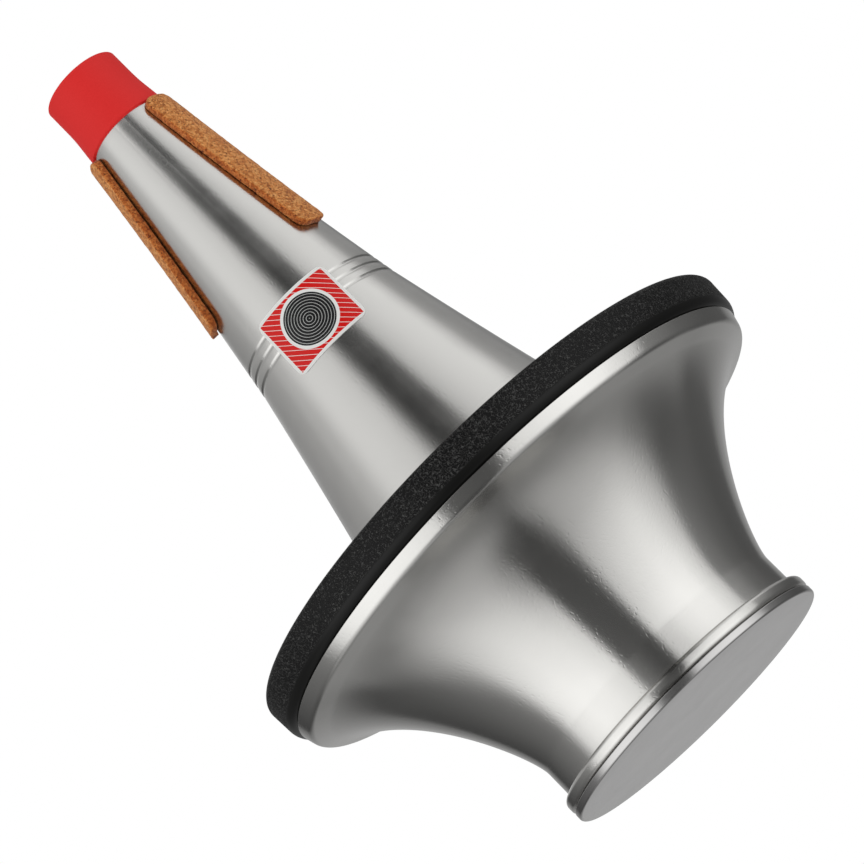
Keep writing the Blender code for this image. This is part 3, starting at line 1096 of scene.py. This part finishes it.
@dataclass
class AdjustableCup:
    """The spun cup with its foam cushion and the felt that slides on the barrel."""

    lathe: Lathe
    metal: bpy.types.Material
    foam: bpy.types.Material
    felt: bpy.types.Material
    wall: float = 0.9 * MM
    neck_inner: float = 50.55 * MM
    bead_radius: float = 54.6 * MM
    bead_height: float = 4.4 * MM
    bead_drop: float = 0.45 * MM
    neck_length: float = 15.8 * MM
    shoulder_radius: float = 100.95 * MM
    shoulder_round: float = 2.7 * MM
    start_pull: float = 8.0 * MM
    end_pull: float = 30.7 * MM
    end_angle: float = math.radians(77.7)
    band_height: float = 4.8 * MM
    lip_height: float = 0.4 * MM
    flange_width: float = 11.5 * MM
    cushion_width: float = 15.0 * MM
    cushion_taper: float = 0.9 * MM
    cushion_low_round: float = 4.2 * MM
    cushion_round: float = 2.0 * MM
    lining_thickness: float = 2.6 * MM
    flare_steps: int = 56

    def build(self) -> None:
        """Build and dress the cup's pieces."""
        self.build_bell()
        self.build_cushion()
        self.build_lining()

    def build_bell(self) -> None:
        """The cup: rolled bead, neck, flare, shoulder, band and in-turned rim."""
        low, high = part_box("cup_bell")
        bead_low = low.z - self.bead_drop
        neck_outer = self.neck_inner + self.wall
        bead_top = low.z + self.bead_height
        flare_base = low.z + self.neck_length
        shoulder_z = high.z - self.band_height
        pull = (
            self.shoulder_radius - self.end_pull * math.sin(self.end_angle),
            shoulder_z - self.end_pull * math.cos(self.end_angle),
        )
        corners = [(neck_outer, flare_base), (neck_outer, flare_base + self.start_pull), pull]
        flare = bezier(corners + [(self.shoulder_radius, shoulder_z)], self.flare_steps)
        inside = beside(flare + [(high.x, high.z)], self.wall)[:-1]
        flange = high.x - self.wall - self.flange_width
        outline = Outline().to(self.neck_inner, bead_low, 0.4 * MM)
        outline.to(self.bead_radius, bead_low, 1.8 * MM).to(self.bead_radius, bead_top, 2.2 * MM)
        outline.to(neck_outer, bead_top)
        outline.along([point for point in flare if point[0] < self.shoulder_radius - 2 * self.shoulder_round])
        outline.to(self.shoulder_radius, shoulder_z, self.shoulder_round)
        outline.to(high.x, high.z + self.lip_height, 0.2 * MM).to(high.x - self.wall, high.z + self.lip_height)
        outline.to(high.x - self.wall, high.z).to(flange, high.z).to(flange, high.z - self.wall)
        outline.to(high.x - self.wall, high.z - self.wall).along(inside[::-1])
        dress(self.lathe.turn("cup_shell", outline), self.metal, Body.CUP, Slot.METAL, "cup_bell")

    def build_cushion(self) -> None:
        """The foam ring on the cup's rim."""
        low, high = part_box("rim_cushion")
        inner = high.x - self.cushion_width
        outline = Outline().to(high.x - self.cushion_taper, low.z, self.cushion_low_round)
        outline.to(high.x, high.z, self.cushion_round).to(inner, high.z, self.cushion_round)
        outline.to(inner, low.z, 0.6 * MM)
        cushion = self.lathe.turn("foam_cushion", outline)
        dress(cushion, self.foam, Body.CUP, Slot.FOAM, "rim_cushion")

    def build_lining(self) -> None:
        """The felt band inside the neck."""
        low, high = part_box("neck_lining")
        inner = high.x - self.lining_thickness
        outline = Outline().to(inner, low.z, 0.3 * MM).to(high.x, low.z, 0.2 * MM)
        outline.to(high.x, high.z, 0.2 * MM).to(inner, high.z, 0.3 * MM)
        dress(self.lathe.turn("felt_lining", outline), self.felt, Body.COLLAR, Slot.FELT, "neck_lining")


@dataclass(frozen=True)
class LightBand:
    """How bright the soft light is all round the mute, over one range of heights.

    Each stop is an azimuth in degrees and a radiance. Azimuth 0 is the viewer's side,
    positive to the mute's +X side, and the stops run from -180 to 180.
    """

    stops: tuple[tuple[float, float], ...]

    def around(
        self, tree: bpy.types.NodeTree, share: bpy.types.NodeSocket, peak: float
    ) -> bpy.types.NodeSocket:
        """Add the band's brightness.

        Args:
            tree: the world's node tree.
            share: the azimuth, from 0 to 1 for the full circle.
            peak: the radiance that counts as one.

        Returns:
            The socket with the band's grey.
        """
        node = add_node(tree, "ShaderNodeValToRGB", values={0: share})
        elements = node.color_ramp.elements
        last = len(self.stops) - 1
        for index, (azimuth, radiance) in enumerate(self.stops):
            position = azimuth / 360 + 0.5
            element = elements[0 if index == 0 else -1] if index in (0, last) else elements.new(position)
            grey = radiance / peak
            element.color = (grey, grey, grey, 1.0)
        return node.outputs[0]


@dataclass
class Studio:
    """The pale floor, soft lights and camera of the photograph."""

    focal_length: float = 141.67
    sensor: float = 36.0
    distance: float = 1.1696
    tilt: float = 0.2565
    roll: float = math.radians(45) + 0.00395
    aim_height: float = 132.2 * MM
    aim_side: float = 1.5 * MM
    peak_light: float = 1.5
    strength: float = 1.83
    top_light: float = 0.25
    panel_size: float = 120 * MM
    panel_power: float = 0.031
    panel_place: tuple[float, float, float] = (4 * MM, -170 * MM, 480 * MM)
    under_band: LightBand = LightBand(
        (
            (-180.0, 0.180),
            (-160.0, 0.180),
            (-145.0, 0.190),
            (-128.0, 0.250),
            (-110.0, 0.370),
            (-85.0, 0.450),
            (-60.0, 0.470),
            (-45.0, 0.240),
            (-34.0, 0.030),
            (-20.0, 0.050),
            (8.0, 0.060),
            (16.0, 0.140),
            (26.0, 0.380),
            (50.0, 0.460),
            (80.0, 0.450),
            (105.0, 0.320),
            (125.0, 0.210),
            (150.0, 0.180),
            (180.0, 0.180),
        )
    )
    lower_band: LightBand = LightBand(
        (
            (-180.0, 0.340),
            (-160.0, 0.300),
            (-145.0, 0.230),
            (-130.0, 0.150),
            (-118.0, 0.320),
            (-100.0, 0.570),
            (-80.0, 0.880),
            (-65.0, 1.020),
            (-45.0, 1.030),
            (-27.0, 0.960),
            (-22.0, 0.780),
            (-19.0, 0.310),
            (-15.5, 0.090),
            (9.0, 0.080),
            (13.0, 0.190),
            (16.0, 0.460),
            (20.0, 0.700),
            (35.0, 0.910),
            (55.0, 1.030),
            (68.0, 0.980),
            (80.0, 0.740),
            (92.0, 0.510),
            (100.0, 0.200),
            (108.0, 0.080),
            (132.0, 0.080),
            (144.0, 0.250),
            (165.0, 0.290),
            (180.0, 0.340),
        )
    )
    low_band: LightBand = LightBand(
        (
            (-180.0, 0.420),
            (-170.0, 0.340),
            (-153.0, 0.160),
            (-149.5, 0.050),
            (-130.0, 0.100),
            (-104.0, 0.180),
            (-95.0, 0.240),
            (-88.0, 0.620),
            (-84.0, 0.950),
            (-74.0, 1.190),
            (-60.0, 1.300),
            (-40.0, 1.240),
            (-24.0, 1.030),
            (-20.0, 0.890),
            (-16.5, 0.260),
            (-12.5, 0.110),
            (8.0, 0.090),
            (12.5, 0.140),
            (15.5, 0.660),
            (18.5, 0.940),
            (35.0, 1.160),
            (52.0, 1.270),
            (66.0, 1.210),
            (78.0, 0.910),
            (84.0, 0.730),
            (88.0, 0.240),
            (110.0, 0.130),
            (130.0, 0.090),
            (149.0, 0.090),
            (154.0, 0.200),
            (168.0, 0.320),
            (180.0, 0.420),
        )
    )
    high_band: LightBand = LightBand(
        (
            (-180.0, 1.500),
            (-170.0, 1.300),
            (-164.0, 0.560),
            (-150.0, 0.370),
            (-135.0, 0.360),
            (-115.0, 0.420),
            (-98.0, 0.480),
            (-82.0, 0.490),
            (-72.0, 0.690),
            (-62.0, 0.820),
            (-45.0, 0.820),
            (-28.0, 0.790),
            (-19.0, 0.760),
            (-14.5, 0.650),
            (-9.0, 0.390),
            (-3.0, 0.140),
            (3.0, 0.030),
            (8.0, 0.000),
            (26.0, 0.010),
            (31.0, 0.060),
            (35.5, 0.270),
            (40.0, 0.520),
            (50.0, 0.660),
            (65.0, 0.770),
            (80.0, 0.840),
            (92.0, 0.940),
            (99.0, 0.930),
            (106.0, 0.760),
            (114.0, 0.450),
            (130.0, 0.360),
            (150.0, 0.350),
            (180.0, 0.060),
        )
    )

    def build(self) -> None:
        """Add the floor, the light and the camera."""
        self.build_floor()
        self.build_world()
        self.build_throat_panel()
        self.build_camera()
        bpy.context.scene.view_settings.view_transform = "Standard"

    def build_floor(self) -> None:
        """A pale floor that shows from above only, as the photo looks from below it."""
        bpy.ops.object.select_all(action="DESELECT")
        bpy.ops.mesh.primitive_plane_add(size=12.0, location=(0, 0, 0))
        floor = start_piece("pale_floor")
        material, tree, shader = new_material("floor_paint")
        shader.inputs["Base Color"].default_value = linear("#E9E8E6")
        shader.inputs["Roughness"].default_value = 0.9
        side = add_node(tree, "ShaderNodeNewGeometry").outputs["Backfacing"]
        clear = add_node(tree, "ShaderNodeBsdfTransparent")
        shown = add_node(
            tree, "ShaderNodeMixShader", values={0: side, 1: shader.outputs[0], 2: clear.outputs[0]}
        )
        tree.links.new(shown.outputs[0], tree.nodes["Material Output"].inputs["Surface"])
        floor.data.materials.append(material)
        floor.visible_diffuse = False
        floor.visible_glossy = False
        floor.visible_shadow = False

    def build_world(self) -> None:
        """White behind the mute for the camera, and soft light banks left and right.

        The photographer's side is dark between the two banks, which gives the dark bar
        along the metal.
        """
        world = bpy.data.worlds.new("studio_world")
        world.use_nodes = True
        bpy.context.scene.world = world
        tree = world.node_tree
        direction = add_node(tree, "ShaderNodeTexCoord").outputs["Generated"]
        apart = add_node(tree, "ShaderNodeSeparateXYZ", values={0: direction})
        sideways, away, rise = apart.outputs
        nearer = add_node(tree, "ShaderNodeMath", {"operation": "MULTIPLY"}, {0: away, 1: -1.0}).outputs[0]
        azimuth = add_node(tree, "ShaderNodeMath", {"operation": "ARCTAN2"}, {0: sideways, 1: nearer}).outputs[0]
        share = add_node(
            tree, "ShaderNodeMath", {"operation": "MULTIPLY_ADD"}, {0: azimuth, 1: 1 / math.tau, 2: 0.5}
        ).outputs[0]
        under = self.under_band.around(tree, share, self.peak_light)
        lower = self.lower_band.around(tree, share, self.peak_light)
        low = self.low_band.around(tree, share, self.peak_light)
        high = self.high_band.around(tree, share, self.peak_light)
        sides = self.blend_by_height(tree, rise, (0.26, 0.38), low, high)
        top = (self.top_light / self.peak_light,) * 3 + (1.0,)
        capped = self.blend_by_height(tree, rise, (0.78, 0.94), sides, top)
        upright = self.blend_by_height(tree, rise, (-0.58, -0.46), lower, capped)
        whole = self.blend_by_height(tree, rise, (-0.88, -0.70), under, upright)
        light = tree.nodes["Background"]
        light.inputs["Strength"].default_value = self.strength
        tree.links.new(whole, light.inputs["Color"])
        white = add_node(tree, "ShaderNodeBackground", values={"Color": (1, 1, 1, 1), "Strength": 1.0})
        seen = add_node(tree, "ShaderNodeLightPath").outputs["Is Camera Ray"]
        mixed = add_node(
            tree, "ShaderNodeMixShader", values={0: seen, 1: light.outputs[0], 2: white.outputs[0]}
        )
        tree.links.new(mixed.outputs[0], tree.nodes["World Output"].inputs["Surface"])

    def build_throat_panel(self) -> None:
        """A small soft panel over the throat, which lifts the dark bar at the cone's tip."""
        data = bpy.data.lights.new("throat_panel", "AREA")
        data.size = self.panel_size
        data.energy = self.panel_power
        panel = bpy.data.objects.new("throat_panel", data)
        panel.visible_camera = False
        panel.location = self.panel_place
        aim = Vector((0, 0, 270 * MM)) - panel.location
        panel.rotation_euler = aim.to_track_quat("-Z", "Y").to_euler()
        bpy.context.scene.collection.objects.link(panel)

    @staticmethod
    def blend_by_height(
        tree: bpy.types.NodeTree,
        rise: bpy.types.NodeSocket,
        limits: tuple[float, float],
        lower: object,
        upper: object,
    ) -> bpy.types.NodeSocket:
        """Blend two greys over a range of heights.

        Args:
            tree: the world's node tree.
            rise: the sine of the height angle.
            limits: where the blend starts and ends.
            lower: the grey or socket below.
            upper: the grey or socket above.

        Returns:
            The socket with the blended grey.
        """
        share = add_node(
            tree,
            "ShaderNodeMapRange",
            {"interpolation_type": "SMOOTHSTEP"},
            {0: rise, 1: limits[0], 2: limits[1]},
        )
        node = add_node(tree, "ShaderNodeMix", {"data_type": "RGBA"}, {0: share.outputs[0], 6: lower, 7: upper})
        return node.outputs[2]

    def build_camera(self) -> None:
        """The camera of the photo: below the end plate's level, rolled by 45 degrees."""
        data = bpy.data.cameras.new("photo_camera")
        data.lens = self.focal_length
        data.sensor_width = self.sensor
        data.clip_start = 0.01
        camera = bpy.data.objects.new("photo_camera", data)
        bpy.context.scene.collection.objects.link(camera)
        to_viewer = Vector((0, -math.cos(self.tilt), -math.sin(self.tilt)))
        down_axis = Vector((0, math.sin(self.tilt), -math.cos(self.tilt)))
        side = Vector((1, 0, 0))
        right = down_axis * math.cos(self.roll) + side * math.sin(self.roll)
        up = side * math.cos(self.roll) - down_axis * math.sin(self.roll)
        turn = Matrix((right, up, to_viewer)).transposed().to_4x4()
        place = Vector((self.aim_side, 0, self.aim_height)) + to_viewer * self.distance
        camera.matrix_world = Matrix.Translation(place) @ turn
        bpy.context.scene.camera = camera


def main() -> None:
    """Build the mute, piece by piece, and then the studio round it."""
    logging.basicConfig(level=logging.INFO, format="%(name)s %(message)s")
    lathe = Lathe()
    cone = ConeShape()
    metal = SpunAluminium("spun_aluminium_cone").make()
    cup_metal = SpunAluminium("spun_aluminium_cup", lean=1.0).make()
    plate_metal = SpunAluminium("pressed_aluminium_plate", "#B8B7B6", lean=1.0, anisotropy=0.2, ring_relief=0.02).make()
    StraightMute(lathe, cone, metal, plate_metal, MouldedRubber("red_rubber").make()).build()
    CorkStrips(cone, CorkSheet("agglomerated_cork").make()).build()
    ConeLabel(cone, PrintedVinyl("printed_vinyl").make()).build()
    foam = FoamRubberSkin("foam_rubber_skin").make()
    AdjustableCup(lathe, cup_metal, foam, WoolFelt("wool_felt").make()).build()
    Studio().build()


if __name__ == "__main__":
    main()
